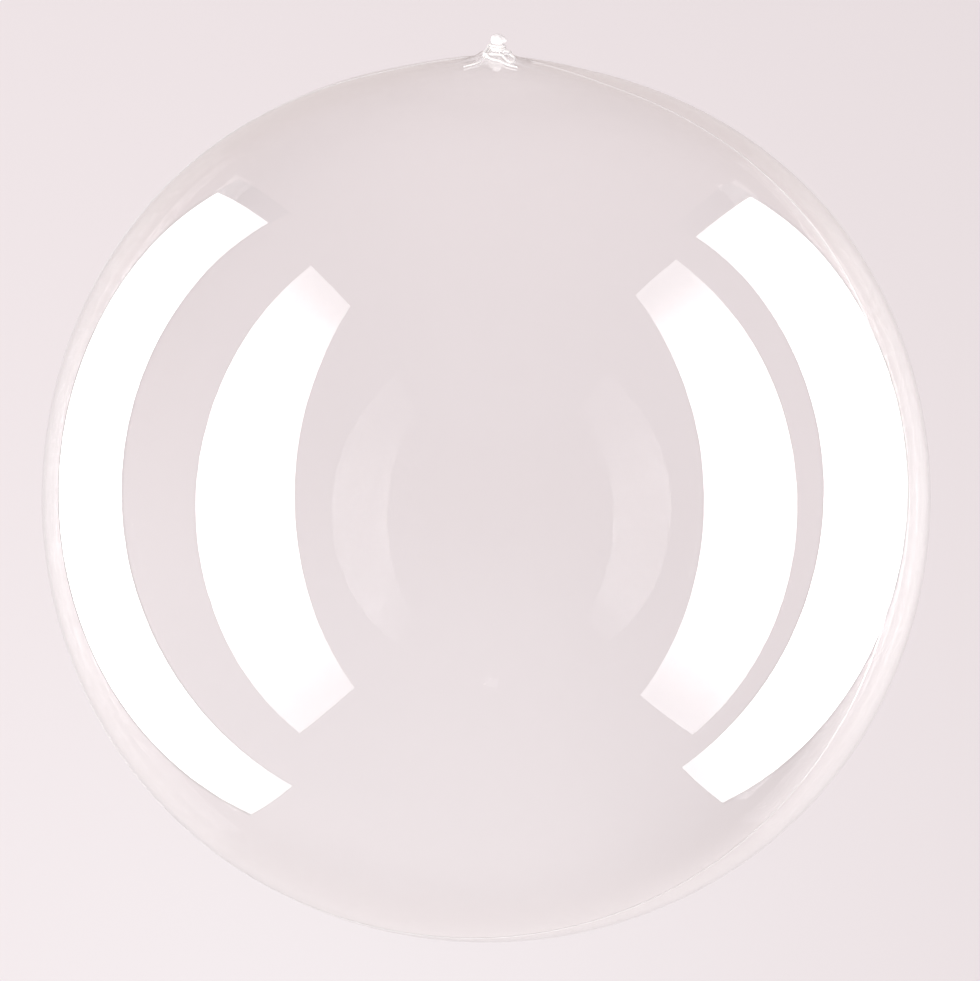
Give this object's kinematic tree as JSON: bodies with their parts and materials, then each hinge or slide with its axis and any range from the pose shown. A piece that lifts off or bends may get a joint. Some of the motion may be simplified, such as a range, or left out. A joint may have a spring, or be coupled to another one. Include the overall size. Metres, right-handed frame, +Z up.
{
  "type": "clear bubble balloon",
  "caption": "Clear round bubble balloon of stretched film, lying on its side, its gathered neck tied off with white string.",
  "frame": {"origin": "middle of the small flat spot that the balloon rests on, right under the middle of the bubble", "axes": "+Z up, +Y from the middle of the bubble towards the tied neck"},
  "size_m": [0.5074, 0.5217, 0.5064],
  "materials": {
    "clear_film": "clear glossy stretched film",
    "white_string": "twisted white cotton string"
  },
  "bodies": {
    "root": {"balloon_film": "clear_film", "tie_string": "white_string"}
  },
  "joints": []
}
